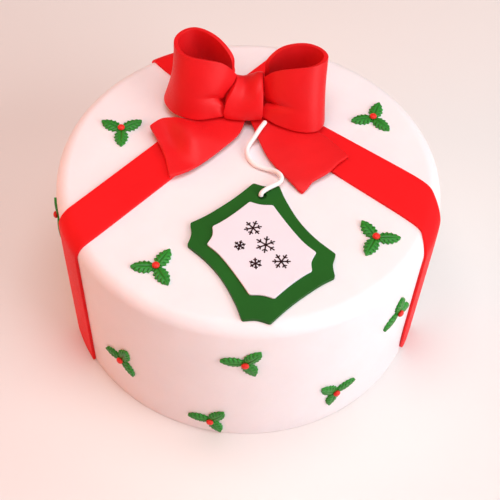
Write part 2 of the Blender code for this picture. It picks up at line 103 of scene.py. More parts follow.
RIB_DEPTH = 0.4
RIB_REACH = 0.1
LEAF_CROWN = 0.75
TIP_LIFT = 0.4
EDGE_ROLL = 0.3
ROLL_STEEPNESS = 10
BERRY_RADIUS = 2.0
BERRY_HEIGHT_SHARE = 0.68
BERRY_LIFT = 2.2
BERRY_SIDES = 24
BERRY_RINGS = 14
DIMPLE_DEPTH = 0.12
DIMPLE_REACH = 0.22

# A sprig on the top has its place x, y and the heading of its first leaf
TOP_HOLLY = (
    (-72.5, 25.2, 33.0),
    (68.8, 42.8, 72.0),
    (-44.9, -68.8, 61.0),
    (67.1, -43.9, 2.0),
)
# A sprig on the wall has its azimuth, its height and the heading of its first leaf
WALL_HOLLY = (
    (-128.5, 40.0, 68.0),
    (-88.8, 79.2, 53.0),
    (-98.5, 14.6, 55.0),
    (-59.8, 29.8, 14.0),
    (-38.2, 72.5, 89.0),
    (-169.5, 85.5, 95.0),
    (176.0, 36.0, 30.0),
    (157.0, 70.0, 100.0),
    (138.0, 28.0, 75.0),
    (95.0, 72.0, 90.0),
    (96.0, 26.0, 48.0),
    (52.0, 62.0, 10.0),
    (36.0, 24.0, 80.0),
    (18.0, 78.0, 55.0),
    (1.0, 36.0, 25.0),
)

# Half of each outline of the tag about its centre, as stretches from corner to corner;
# the other half is the same, turned by 180 degrees
PLAQUE_STRETCHES = (
    ((-5.5, 44.4), (1.2, 42.5), (8.4, 43.2)),
    ((8.4, 43.2), (12.2, 33.0), (19.2, 19.5), (27.8, 8.5), (38.0, -0.8)),
    ((38.0, -0.8), (36.4, -7.9), (37.4, -15.2)),
    ((37.4, -15.2), (29.0, -21.0), (16.1, -32.6), (5.5, -44.4)),
)
INSET_STRETCHES = (
    ((-7.1, 30.7), (-1.3, 29.0), (5.3, 29.0)),
    ((5.3, 29.0), (10.0, 21.3), (16.7, 11.3), (22.1, 4.4), (28.0, -1.0)),
    ((28.0, -1.0), (25.5, -7.1), (25.8, -12.9)),
    ((25.8, -12.9), (21.0, -16.5), (14.3, -22.8), (7.1, -30.7)),
)
STRETCH_STEPS = 5

# Small shifts of the bow's soft paste, each as its spot, its reach and its move
BOW_NUDGES = {
    "bow_loop_left": (
        ((-17.0, 36.0, 116.0), 7.0, (1.2, -0.9, 0.0)),
        ((-17.0, 38.5, 120.5), 5.0, (0.6, -1.4, 0.0)),
        ((-17.2, 54.5, 117.0), 9.0, (2.0, 1.2, 0.0)),
        ((-12.5, 53.0, 128.0), 7.0, (1.3, 0.0, 0.0)),
    ),
    "bow_loop_right": (
        ((7.5, 36.5, 117.0), 7.0, (-0.7, -0.4, 0.0)),
        ((7.4, 54.0, 117.0), 9.0, (-1.7, 1.0, 0.0)),
        ((7.0, 52.5, 128.0), 7.0, (-0.9, 0.0, 0.0)),
        ((7.2, 53.5, 121.5), 6.0, (-1.0, 0.3, 0.0)),
    ),
    "bow_knot": (((-5.0, 56.0, 113.5), 12.0, (0.0, 0.0, -2.2)),),
    "bow_tail_left": (
        ((-33.0, 17.5, 115.0), 14.0, (0.0, 0.0, 1.8)),
        ((-29.5, 8.0, 113.5), 12.0, (0.0, 0.0, 1.2)),
        ((-43.5, 11.5, 112.5), 9.0, (0.0, 0.0, -0.5)),
        ((-22.0, 2.0, 109.5), 16.0, (0.0, 0.0, -1.2)),
    ),
    "bow_tail_right": (
        ((43.6, -2.3, 110.5), 9.0, (0.8, -0.8, 0.0)),
        ((34.5, -10.0, 110.5), 5.0, (-0.5, 0.5, 0.0)),
        ((27.8, -17.8, 110.5), 3.0, (0.1, 0.9, 0.0)),
        ((27.8, -17.8, 110.5), 9.0, (0.0, 0.0, -0.7)),
    ),
}

# Each snowflake on the inset has its place along and across the tag, its radius and its turn
SNOWFLAKES = (
    (-13.2, 3.4, 4.6, 8.0),
    (-0.6, 3.0, 5.2, 21.0),
    (12.4, 3.8, 4.6, -4.0),
    (-7.2, -8.6, 2.9, 15.0),
    (6.6, -8.0, 3.1, 33.0),
)
INK_HEIGHT = 0.14
INK_LIFT = 0.04
INK_ROUNDING = 0.49
ARMS = 6
ARM_WOBBLE = 2.5
WOBBLE_RHYTHM = 2.3
ARM_UNEVENNESS = 0.06
UNEVEN_RHYTHM = 1.7
BARB_PLACE = 0.58
BARB_ANGLE = 52.0
BARB_LENGTH = 0.3
BARB_WIDTH = 0.8

# Each paste's finish: the share by which its colour varies, its roughness, its swells and its grain in mm,
# the share of light that scatters under its surface, and its sheen
FINISHES = {
    "icing_white": (0.015, 0.46, 0.5, 0.012, 0.2, 0.25),
    "ribbon_red": (0.05, 0.52, 0.3, 0.012, 0.1, 0.1),
    "bow_red": (0.05, 0.45, 0.45, 0.012, 0.1, 0.24),
    "string_white": (0.02, 0.5, 0.15, 0.01, 0.2, 0.25),
    "plaque_green": (0.08, 0.5, 0.3, 0.012, 0.05, 0.15),
    "inset_white": (0.02, 0.5, 0.2, 0.01, 0.15, 0.25),
    "tag_ink": (0.25, 0.6, 0.02, 0.01, 0.0, 0.25),
    "leaf_green": (0.12, 0.38, 0.05, 0.012, 0.05, 0.35),
    "berry_red": (0.05, 0.36, 0.05, 0.008, 0.12, 0.25),
}
PATCH_SCALE = 38.0
SWELL_SCALE = 55.0
POWDER_SCALE = 900.0
POWDER_RANGE = (0.35, 0.65)
POWDER_ROUGHNESS = (-0.06, 0.08)
TONE_RANGE = (0.3, 0.7)
GLOW_RADIUS = (1.0, 0.6, 0.5)
GLOW_DEPTH = 2.0
# Colour that the leaf's green is multiplied by in its sunk midrib and side veins: painted shade in the
# grooves
PAINTED_VEIN_SHADE = (0.16, 0.28, 0.2, 1.0)

# The camera in the cake's own frame, with its angles in radians
CAMERA_PLACE = (0.0, -0.3783, 0.5314)
CAMERA_LENS = 74.9
CAMERA_SENSOR = 36.0
CAMERA_NEAR = 0.01
CAMERA_DOWN = 0.9189
CAMERA_HEADING = -0.0064
CAMERA_ROLL = 0.0501

LIGHT_SIZE = 1.0
LIGHT_DISTANCE = 1.5
# The soft lights, each as azimuth, elevation, power in watts, spread in degrees and colour;
# azimuth 0 is the front and 90 the right
LIGHTS = {
    "overhead": (0.0, 85.0, 13.0, 180.0, (0.96, 0.98, 1.0)),
    "key": (60.0, 30.0, 14.5, 180.0, (0.96, 0.98, 1.0)),
    "low_front": (40.0, 12.0, 4.0, 180.0, (0.96, 0.95, 1.0)),
    "warm_left": (-62.0, 25.0, 1.55, 70.0, (1.0, 0.25, 0.08)),
    "back_right": (120.0, 40.0, 3.0, 180.0, (1.0, 0.95, 0.9)),
    "back_left": (-120.0, 28.0, 1.2, 70.0, (1.0, 0.36, 0.16)),
}
ROOM_COLOUR = (1.0, 0.58, 0.44)
ROOM_STRENGTH = 0.14
FLOOR_SIZE = 8.0
FLOOR_COLOUR = (0.8, 0.78, 0.77, 1.0)
FLOOR_ROUGHNESS = 0.8


# Sizes and colours that a user would change


class CakeSizes(bpy.types.PropertyGroup):
    """Sizes of the finish."""

    cake_segments: IntProperty(
        name="Cake segments", description="Sides of the round cake", default=144, min=48, max=256
    )
    edge_segments: IntProperty(
        name="Edge segments", description="Steps across the cake's rounded edge", default=12, min=4, max=24
    )
    strip_edge: FloatProperty(
        name="Strip edge",
        description="Radius of the soft edge of the ribbon strips",
        default=0.45 * MM,
        min=0.1 * MM,
        max=0.7 * MM,
        unit="LENGTH",
    )
    bow_edge: FloatProperty(
        name="Bow edge",
        description="Radius of the bow's soft edge",
        default=0.8 * MM,
        min=0.2 * MM,
        max=1.1 * MM,
        unit="LENGTH",
    )
    plaque_edge: FloatProperty(
        name="Plaque edge",
        description="Radius of the plaque's soft edge",
        default=0.75 * MM,
        min=0.1 * MM,
        max=0.8 * MM,
        unit="LENGTH",
    )
    inset_edge: FloatProperty(
        name="Inset edge",
        description="Radius of the inset's soft edge",
        default=0.35 * MM,
        min=0.1 * MM,
        max=0.4 * MM,
        unit="LENGTH",
    )
    ink_width: FloatProperty(
        name="Ink width",
        description="Width of a pen stroke on the tag",
        default=0.8 * MM,
        min=0.3 * MM,
        max=1.5 * MM,
        unit="LENGTH",
    )
    leaf_rise: FloatProperty(
        name="Leaf rise",
        description="Height of a leaf's thin edge above the cake",
        default=1.1 * MM,
        min=0.9 * MM,
        max=1.3 * MM,
        unit="LENGTH",
    )
    leaf_spikes: IntProperty(
        name="Leaf spikes", description="Spikes on each side of a holly leaf", default=5, min=3, max=8
    )


class CakeColours(bpy.types.PropertyGroup):
    """Colours of the sugar pastes."""

    icing: FloatVectorProperty(
        name="Icing", description="The cake's white icing", subtype="COLOR", default=(0.88, 0.82, 0.84)
    )
    ribbon: FloatVectorProperty(
        name="Ribbon", description="The red of the ribbon", subtype="COLOR", default=(0.82, 0.01, 0.013)
    )
    bow: FloatVectorProperty(
        name="Bow", description="The red of the bow", subtype="COLOR", default=(0.73, 0.009, 0.012)
    )
    leaf: FloatVectorProperty(
        name="Leaf", description="The green of the holly", subtype="COLOR", default=(0.022, 0.25, 0.022)
    )
    berry: FloatVectorProperty(
        name="Berry", description="The red of the berries", subtype="COLOR", default=(0.75, 0.03, 0.02)
    )
    plaque: FloatVectorProperty(
        name="Plaque", description="The tag's green", subtype="COLOR", default=(0.014, 0.11, 0.012)
    )
    inset: FloatVectorProperty(
        name="Inset", description="The tag's white", subtype="COLOR", default=(0.8, 0.74, 0.8)
    )
    string: FloatVectorProperty(
        name="String", description="The white of the string", subtype="COLOR", default=(0.92, 0.87, 0.87)
    )
    ink: FloatVectorProperty(
        name="Ink", description="The pen strokes' dark brown", subtype="COLOR", default=(0.035, 0.008, 0.01)
    )


# Small helpers


def mix(first, second, share):
    """The value or vector between two others."""
    return first * (1.0 - share) + second * share


def heading_vector(degrees):
    """The unit vector in plan with the given heading."""
    return Vector((math.cos(math.radians(degrees)), math.sin(math.radians(degrees))))


def smooth_points(points, steps):
    """Points along a smooth curve through the given ones, with the given steps between each two."""
    knots = [Vector(point) for point in points]
    knots = [knots[0] * 2.0 - knots[1]] + knots + [knots[-1] * 2.0 - knots[-2]]
    curve = []
    for index in range(1, len(knots) - 2):
        before, start, end, after = knots[index - 1:index + 3]
        for step in range(steps):
            t = step / steps
            pull = (end - before) * t + (before * 2.0 - start * 5.0 + end * 4.0 - after) * t ** 2
            curve.append(start + (pull + (start * 3.0 - before - end * 3.0 + after) * t ** 3) * 0.5)
    curve.append(knots[-2])
    return curve


def wall_point(level, azimuth, lift):
    """A point a path's length up from the foot, over the wall and the rounded edge, in millimetres."""
    outward = heading_vector(azimuth)
    if level <= WALL_HEIGHT:
        radius = mix(FOOT_RADIUS, CAKE_RADIUS, level / WALL_HEIGHT) + lift
        return Vector((outward.x * radius, outward.y * radius, level))
    tilt = min((level - WALL_HEIGHT) / EDGE_RADIUS, math.pi / 2)
    radius = TOP_RADIUS + (EDGE_RADIUS + lift) * math.cos(tilt)
    height = WALL_HEIGHT + (EDGE_RADIUS + lift) * math.sin(tilt)
    return Vector((outward.x * radius, outward.y * radius, height))


def select_only(thing):
    """Make the object the only one that is selected, and the active one."""
    bpy.ops.object.select_all(action="DESELECT")
    thing.select_set(True)
    bpy.context.view_layer.objects.active = thing


def edit(thing):
    """Enter edit mode on the object with all of it selected."""
    select_only(thing)
    bpy.ops.object.mode_set(mode="EDIT")
    bpy.ops.mesh.select_all(action="SELECT")


def leave_edit():
    """Back to object mode."""
    bpy.ops.object.mode_set(mode="OBJECT")


def apply_modifiers(thing):
    """Apply the object's modifiers in order."""
    select_only(thing)
    for name in [modifier.name for modifier in thing.modifiers]:
        bpy.ops.object.modifier_apply(modifier=name)


def settle(thing):
    """Put the object's place, turn and scale into its mesh."""
    select_only(thing)
    bpy.ops.object.transform_apply(location=True, rotation=True, scale=True)


def bevel_selected(radius, segments):
    """Round the selected edges of the active object."""
    bpy.ops.object.mode_set(mode="EDIT")
    bpy.ops.mesh.select_mode(type="EDGE")
    bpy.ops.mesh.bevel(offset=radius * MM, segments=segments, profile=0.5)
    leave_edit()


def bevel_edges(thing, radius, segments, wanted):
    """Round the edges that a test of their two ends, in millimetres, wants."""
    edit(thing)
    bpy.ops.mesh.select_all(action="DESELECT")
    leave_edit()
    for edge in thing.data.edges:
        start, end = (thing.data.vertices[index].co / MM for index in edge.vertices)
        edge.select = wanted(start, end)
    bevel_selected(radius, segments)


def join(things, name):
    """Join the objects into one."""
    bpy.ops.object.select_all(action="DESELECT")
    for thing in things:
        thing.select_set(True)
    bpy.context.view_layer.objects.active = things[0]
    bpy.ops.object.join()
    joined = bpy.context.active_object
    joined.name = name
    return joined


def copy_of(thing, name):
    """A new object with its own copy of a mesh."""
    twin = bpy.data.objects.new(name, thing.data.copy())
    bpy.context.scene.collection.objects.link(twin)
    return twin


def copy_of_node(node, name):
    """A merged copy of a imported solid, with its faces in quads."""
    thing = copy_of(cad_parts[node], name)
    thing.data.materials.clear()
    edit(thing)
    bpy.ops.mesh.customdata_custom_splitnormals_clear()
    bpy.ops.mesh.remove_doubles(threshold=MERGE_DISTANCE * MM)
    bpy.ops.mesh.tris_convert_to_quads(
        face_threshold=math.radians(QUAD_FACE_ANGLE), shape_threshold=math.radians(QUAD_SHAPE_ANGLE)
    )
    leave_edit()
    return thing


def soften(thing, radius, segments, levels):
    """Round the sharp edges, then divide the surface smoothly, or keep its faces flat for no levels."""
    select_only(thing)
    bevel = thing.modifiers.new("Soft edges", "BEVEL")
    bevel.width = radius * MM
    bevel.segments = segments
    bevel.limit_method = "ANGLE"
    bevel.angle_limit = math.radians(SHARP_ANGLE)
    if levels:
        smooth = thing.modifiers.new("Smooth surface", "SUBSURF")
        smooth.levels = levels
        smooth.render_levels = levels
        bpy.ops.object.shade_smooth()
    else:
        bpy.ops.object.shade_smooth()
        even = thing.modifiers.new("Flat faces", "WEIGHTED_NORMAL")
        even.weight = FLAT_FACE_WEIGHT
    apply_modifiers(thing)


def nudge(thing, spot, reach, move):
    """Move the surface near a spot, less and less up to its reach, in millimetres."""
    for vertex in thing.data.vertices:
        away = (vertex.co / MM - Vector(spot)).length / reach
        if away < 1.0:
            vertex.co += Vector(move) * (1.0 - away ** 2) ** 2 * MM


def lift_off_cake(point):
    """How far a point is outside the cake's surface, and the direction away from it, in millimetres."""
    outward = Vector((point.x, point.y, 0.0)).normalized()
    radius = point.xy.length
    if radius <= TOP_RADIUS:
        return point.z - CAKE_HEIGHT, Vector((0.0, 0.0, 1.0))
    if point.z <= WALL_HEIGHT:
        return radius - mix(FOOT_RADIUS, CAKE_RADIUS, point.z / WALL_HEIGHT), outward
    slant = outward * (radius - TOP_RADIUS) + Vector((0.0, 0.0, point.z - WALL_HEIGHT))
    return slant.length - EDGE_RADIUS, slant.normalized()


def seat_strip(strip, radius, segments, levels):
    """Lay a strip's inner face on the cake, keep its rim sharp there and round the outer edges."""
    seated = set()
    for vertex in strip.data.vertices:
        lift, away = lift_off_cake(vertex.co / MM)
        if lift < SEATED_LIFT:
            vertex.co -= away * (lift - SEAT) * MM
            seated.add(vertex.index)
    edit(strip)
    bpy.ops.mesh.select_mode(type="EDGE")
    bpy.ops.mesh.select_all(action="DESELECT")
    bpy.ops.mesh.edges_select_sharp(sharpness=math.radians(SHARP_ANGLE))
    leave_edit()
    crease = strip.data.attributes.new("crease_edge", "FLOAT", "EDGE")
    for edge in strip.data.edges:
        if edge.select and all(index in seated for index in edge.vertices):
            crease.data[edge.index].value = 1.0
            edge.select = False
    bevel_selected(radius, segments)
    smooth = strip.modifiers.new("Smooth surface", "SUBSURF")
    smooth.levels = levels
    smooth.render_levels = levels
    bpy.ops.object.shade_smooth()
    apply_modifiers(strip)


def place_piece(thing, material, nodes):
    """Give the piece its material and slot, and let it stand for its nodes."""
    thing.data.materials.clear()
    thing.data.materials.append(material)
    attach(thing, "root")
    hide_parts(*nodes)


# Materials


def add_node(material, kind, place, **values):
    """A node of the given kind, with its named sockets set."""
    node = material.node_tree.nodes.new(kind)
    node.location = place
    for name, value in values.items():
        node.inputs[name].default_value = value
    return node


def link(material, source, target):
    """Join two sockets."""
    material.node_tree.links.new(source, target)


def ramp(material, source, low, high, place):
    """A colour ramp between two colours, driven by a value."""
    node = add_node(material, "ShaderNodeValToRGB", place)
    node.color_ramp.elements[0].color = (*low, 1.0)
    node.color_ramp.elements[1].color = (*high, 1.0)
    node.color_ramp.elements[0].position = TONE_RANGE[0]
    node.color_ramp.elements[1].position = TONE_RANGE[1]
    link(material, source, node.inputs["Fac"])
    return node


def noise(material, coordinates, scale, detail, place):
    """A noise texture over the given coordinates."""
    node = add_node(material, "ShaderNodeTexNoise", place, Scale=scale, Detail=detail)
    link(material, coordinates, node.inputs["Vector"])
    return node


def sugar_paste(name, colour):
    """Rolled sugar paste: a faintly uneven colour, soft swells, a fine powdery grain and a little glow."""
    depth, roughness, swell, grain, glow, sheen = FINISHES[name]
    material = bpy.data.materials.new(name)
    material.use_nodes = True
    shader = material.node_tree.nodes["Principled BSDF"]
    shader.inputs["Specular IOR Level"].default_value = sheen
    shader.inputs["Subsurface Weight"].default_value = glow
    shader.inputs["Subsurface Radius"].default_value = GLOW_RADIUS
    shader.inputs["Subsurface Scale"].default_value = GLOW_DEPTH * MM
    coordinates = add_node(material, "ShaderNodeTexCoord", (-1400, 0)).outputs["Object"]
    patches = noise(material, coordinates, PATCH_SCALE, 3.0, (-1100, 300))
    powder = noise(material, coordinates, POWDER_SCALE, 4.0, (-1100, 0))
    swells = noise(material, coordinates, SWELL_SCALE, 2.0, (-1100, -300))
    low = tuple(value * (1.0 - depth) for value in colour)
    high = tuple(min(value * (1.0 + depth), 1.0) for value in colour)
    tone = ramp(material, patches.outputs["Fac"], low, high, (-800, 300))
    link(material, tone.outputs["Color"], shader.inputs["Base Color"])
    dusting = add_node(material, "ShaderNodeMapRange", (-800, 0))
    dusting.inputs["From Min"].default_value = POWDER_RANGE[0]
    dusting.inputs["From Max"].default_value = POWDER_RANGE[1]
    dusting.inputs["To Min"].default_value = roughness + POWDER_ROUGHNESS[0]
    dusting.inputs["To Max"].default_value = roughness + POWDER_ROUGHNESS[1]
    link(material, powder.outputs["Fac"], dusting.inputs["Value"])
    link(material, dusting.outputs["Result"], shader.inputs["Roughness"])
    waves = add_node(material, "ShaderNodeBump", (-500, -300), Strength=1.0, Distance=swell * MM)
    link(material, swells.outputs["Fac"], waves.inputs["Height"])
    skin = add_node(material, "ShaderNodeBump", (-250, -150), Strength=1.0, Distance=grain * MM)
    link(material, powder.outputs["Fac"], skin.inputs["Height"])
    link(material, waves.outputs["Normal"], skin.inputs["Normal"])
    link(material, skin.outputs["Normal"], shader.inputs["Normal"])
    return material


def holly_paste(name, colour):
    """Green sugar paste, with painted shade darkening its sunk midrib and side veins."""
    material = sugar_paste(name, colour)
    shader = material.node_tree.nodes["Principled BSDF"]
    tone = shader.inputs["Base Color"].links[0].from_socket
    groove = add_node(material, "ShaderNodeAttribute", (-700, 700))
    groove.attribute_name = "groove"
    # Painted shade: the green is multiplied darker where the groove is deep
    darker = add_node(material, "ShaderNodeMix", (-400, 500))
    darker.data_type = "RGBA"
    darker.blend_type = "MULTIPLY"
    darker.inputs["B"].default_value = PAINTED_VEIN_SHADE
    link(material, groove.outputs["Fac"], darker.inputs["Factor"])
    link(material, tone, darker.inputs["A"])
    link(material, darker.outputs["Result"], shader.inputs["Base Color"])
    return material


# Pieces


class CAKE_OT_body(bpy.types.Operator):
    """Model the round cake under its rolled icing"""

    bl_idname = "cake.body"
    bl_label = "Iced cake"

    def execute(self, context):
        sizes = context.scene.cake_sizes
        bpy.ops.object.select_all(action="DESELECT")
        bpy.ops.mesh.primitive_cylinder_add(
            vertices=sizes.cake_segments,
            radius=CAKE_RADIUS * MM,
            depth=CAKE_HEIGHT * MM,
            location=(0.0, 0.0, CAKE_HEIGHT / 2 * MM),
        )
        cake = context.active_object
        cake.name = "iced_cake"
        settle(cake)
        self.round_rim(cake, CAKE_HEIGHT, EDGE_RADIUS, sizes.edge_segments)
        self.round_rim(cake, 0.0, FOOT_CHAMFER, FOOT_SEGMENTS)
        self.taper_wall(cake)
        self.divide_top(cake)
        bpy.ops.object.shade_smooth()
        paste = sugar_paste("icing_white", context.scene.cake_colours.icing)
        place_piece(cake, paste, ["cake"])
        return {"FINISHED"}

    @staticmethod
    def round_rim(cake, height, radius, segments):
        """Round the ring of edges at the given height."""

        def on_ring(start, end):
            return max(abs(start.z - height), abs(end.z - height)) < LEVEL_TOLERANCE

        bevel_edges(cake, radius, segments, on_ring)

    @staticmethod
    def taper_wall(cake):
        """Draw the wall in towards the foot."""
        for vertex in cake.data.vertices:
            share = min(vertex.co.z / MM / WALL_HEIGHT, 1.0)
            narrow = mix(FOOT_RADIUS, CAKE_RADIUS, share) / CAKE_RADIUS
            vertex.co.x *= narrow
            vertex.co.y *= narrow

    @staticmethod
    def divide_top(cake):
        """Set rings into the flat top, so that no face is very large."""
        edit(cake)
        bpy.ops.mesh.select_all(action="DESELECT")
        leave_edit()
        for face in cake.data.polygons:
            face.select = face.normal.z > UP_FACING and face.center.xy.length < MM
        bpy.ops.object.mode_set(mode="EDIT")
        bpy.ops.mesh.select_mode(type="FACE")
        for _ in range(TOP_RINGS):
            bpy.ops.mesh.inset(thickness=TOP_RADIUS / (TOP_RINGS + 1) * MM)
        bpy.ops.mesh.poke()
        leave_edit()


class CAKE_OT_ribbon(bpy.types.Operator):
    """Soften the three strips of ribbon on the cake"""

    bl_idname = "cake.ribbon"
    bl_label = "Ribbon"

    def execute(self, context):
        paste = sugar_paste("ribbon_red", context.scene.cake_colours.ribbon)
        for node in ("ribbon_long", "ribbon_front_right", "ribbon_back_left"):
            strip = copy_of_node(node, f"{node}_strip")
            seat_strip(strip, context.scene.cake_sizes.strip_edge / MM, segments=2, levels=2)
            place_piece(strip, paste, [node])
        return {"FINISHED"}


class CAKE_OT_bow(bpy.types.Operator):
    """Soften the bow's loops, knot and tails"""

    bl_idname = "cake.bow"
    bl_label = "Bow"

    def execute(self, context):
        paste = sugar_paste("bow_red", context.scene.cake_colours.bow)
        for node, nudges in BOW_NUDGES.items():
            piece = copy_of_node(node, f"{node}_paste")
            soften(piece, context.scene.cake_sizes.bow_edge / MM, segments=2, levels=2)
            for spot, reach, move in nudges:
                nudge(piece, spot, reach, move)
            place_piece(piece, paste, [node])
        return {"FINISHED"}


class CAKE_OT_string(bpy.types.Operator):
    """Smooth the rolled string that holds the tag"""

    bl_idname = "cake.string"
    bl_label = "String"

    def execute(self, context):
        paste = sugar_paste("string_white", context.scene.cake_colours.string)
        string = copy_of_node("tag_string", "rolled_string")
        soften(string, STRING_EDGE, segments=1, levels=2)
        place_piece(string, paste, ["tag_string"])
        return {"FINISHED"}


class CAKE_OT_tag(bpy.types.Operator):
    """Model the tag's plaque and inset with the pen-drawn snowflakes"""

    bl_idname = "cake.tag"
    bl_label = "Tag"

    def execute(self, context):
        sizes = context.scene.cake_sizes
        colours = context.scene.cake_colours
        plaque = self.plate("plaque", PLAQUE_STRETCHES, CAKE_HEIGHT + SEAT, PLAQUE_TOP)
        self.cut_hole(plaque)
        soften(plaque, sizes.plaque_edge / MM, segments=4, levels=0)
        green = sugar_paste("plaque_green", colours.plaque)
        place_piece(plaque, green, ["tag_plaque"])
        inset = self.plate("inset", INSET_STRETCHES, PLAQUE_TOP + SEAT, INSET_TOP)
        soften(inset, sizes.inset_edge / MM, segments=3, levels=0)
        white = sugar_paste("inset_white", colours.inset)
        place_piece(inset, white, ["tag_inset"])
        self.draw_snowflakes(context)
        return {"FINISHED"}

    @staticmethod
    def both_halves(points):
        """The points set about the tag's centre, and the same again turned by 180 degrees."""
        centre = Vector(TAG_CENTRE)
        return [centre + point for point in points] + [centre - point for point in points]

    def plate(self, name, stretches, low, high):
        """A flat plate whose outline runs through the stretches and their turned copies."""
        half = []
        for stretch in stretches:
            half += smooth_points(stretch, STRETCH_STEPS)[:-1]
        outline = self.both_halves(half)
        bpy.ops.object.select_all(action="DESELECT")
        bpy.ops.mesh.primitive_circle_add(vertices=len(outline), radius=MM, fill_type="NGON")
        plate = bpy.context.active_object
        plate.name = name
        clockwise = reversed(outline)
        for vertex, point in zip(plate.data.vertices, clockwise):
            vertex.co = (point.x * MM, point.y * MM, low * MM)
        edit(plate)
        bpy.ops.mesh.extrude_region_move(TRANSFORM_OT_translate={"value": (0.0, 0.0, (high - low) * MM)})
        bpy.ops.mesh.select_all(action="SELECT")
        bpy.ops.mesh.normals_make_consistent(inside=False)
        leave_edit()
        corners = self.both_halves([Vector(stretch[0]) for stretch in stretches])

        def on_corner(start, end):
            upright = (start.xy - end.xy).length < MERGE_DISTANCE
            return upright and min((start.xy - corner).length for corner in corners) < MERGE_DISTANCE

        bevel_edges(plate, TAG_CORNER_RADIUS, 3, on_corner)
        return plate

    @staticmethod
    def cut_hole(plaque):
        """Cut the hole that the string goes into, down to a floor above the cake; the floor's dark green
        paste stands in for the shade inside the hole.
        """
        bpy.ops.object.select_all(action="DESELECT")
        bpy.ops.mesh.primitive_cylinder_add(
            vertices=HOLE_SIDES,
            radius=HOLE_RADIUS * MM,
            depth=(PLAQUE_TOP - HOLE_FLOOR) * 2.0 * MM,
            location=(HOLE_PLACE[0] * MM, HOLE_PLACE[1] * MM, PLAQUE_TOP * MM),
        )
        cutter = bpy.context.active_object
        settle(cutter)
        cut = plaque.modifiers.new("String hole", "BOOLEAN")
        cut.operation = "DIFFERENCE"
        cut.object = cutter
        apply_modifiers(plaque)
        bpy.data.objects.remove(cutter, do_unlink=True)

    @staticmethod
    def stroke(start, end, width):
        """One pen stroke: a thin bar with round ends."""
        bpy.ops.object.select_all(action="DESELECT")
        bpy.ops.mesh.primitive_cube_add(size=MM)
        bar = bpy.context.active_object
        along = end - start
        bar.scale = (along.length + width, width, INK_HEIGHT)
        bar.rotation_euler = Euler((0.0, 0.0, math.atan2(along.y, along.x)))
        middle = (start + end) / 2
        bar.location = (middle.x * MM, middle.y * MM, (INSET_TOP + INK_LIFT) * MM)
        settle(bar)

        def upright(start, end):
            return abs(start.z - end.z) > LEVEL_TOLERANCE

        bevel_edges(bar, width * INK_ROUNDING, 4, upright)
        return bar

    def draw_snowflakes(self, context):
        """Six-armed snowflakes, with two barbs on each arm."""
        width = context.scene.cake_sizes.ink_width / MM
        across = heading_vector(TAG_HEADING + 90.0)
        along = heading_vector(TAG_HEADING)
        strokes = []
        for u, v, radius, turn in SNOWFLAKES:
            centre = Vector(TAG_CENTRE) + along * u + across * v
            for arm in range(ARMS):
                wobble = ARM_WOBBLE * math.sin(arm * WOBBLE_RHYTHM + u)
                turned = turn + TAG_HEADING + arm * 360.0 / ARMS + wobble
                heading = heading_vector(turned)
                reach = radius * (1.0 + ARM_UNEVENNESS * math.sin(arm * UNEVEN_RHYTHM + v))
                strokes.append(self.stroke(centre, centre + heading * reach, width))
                fork = centre + heading * reach * BARB_PLACE
                for side in (-BARB_ANGLE, BARB_ANGLE):
                    tip = fork + heading_vector(turned + side) * radius * BARB_LENGTH
                    strokes.append(self.stroke(fork, tip, width * BARB_WIDTH))
        drawing = join(strokes, "ink_snowflakes")
        ink = sugar_paste("tag_ink", context.scene.cake_colours.ink)
        drawing.data.materials.clear()
        drawing.data.materials.append(ink)
        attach(drawing, "root")


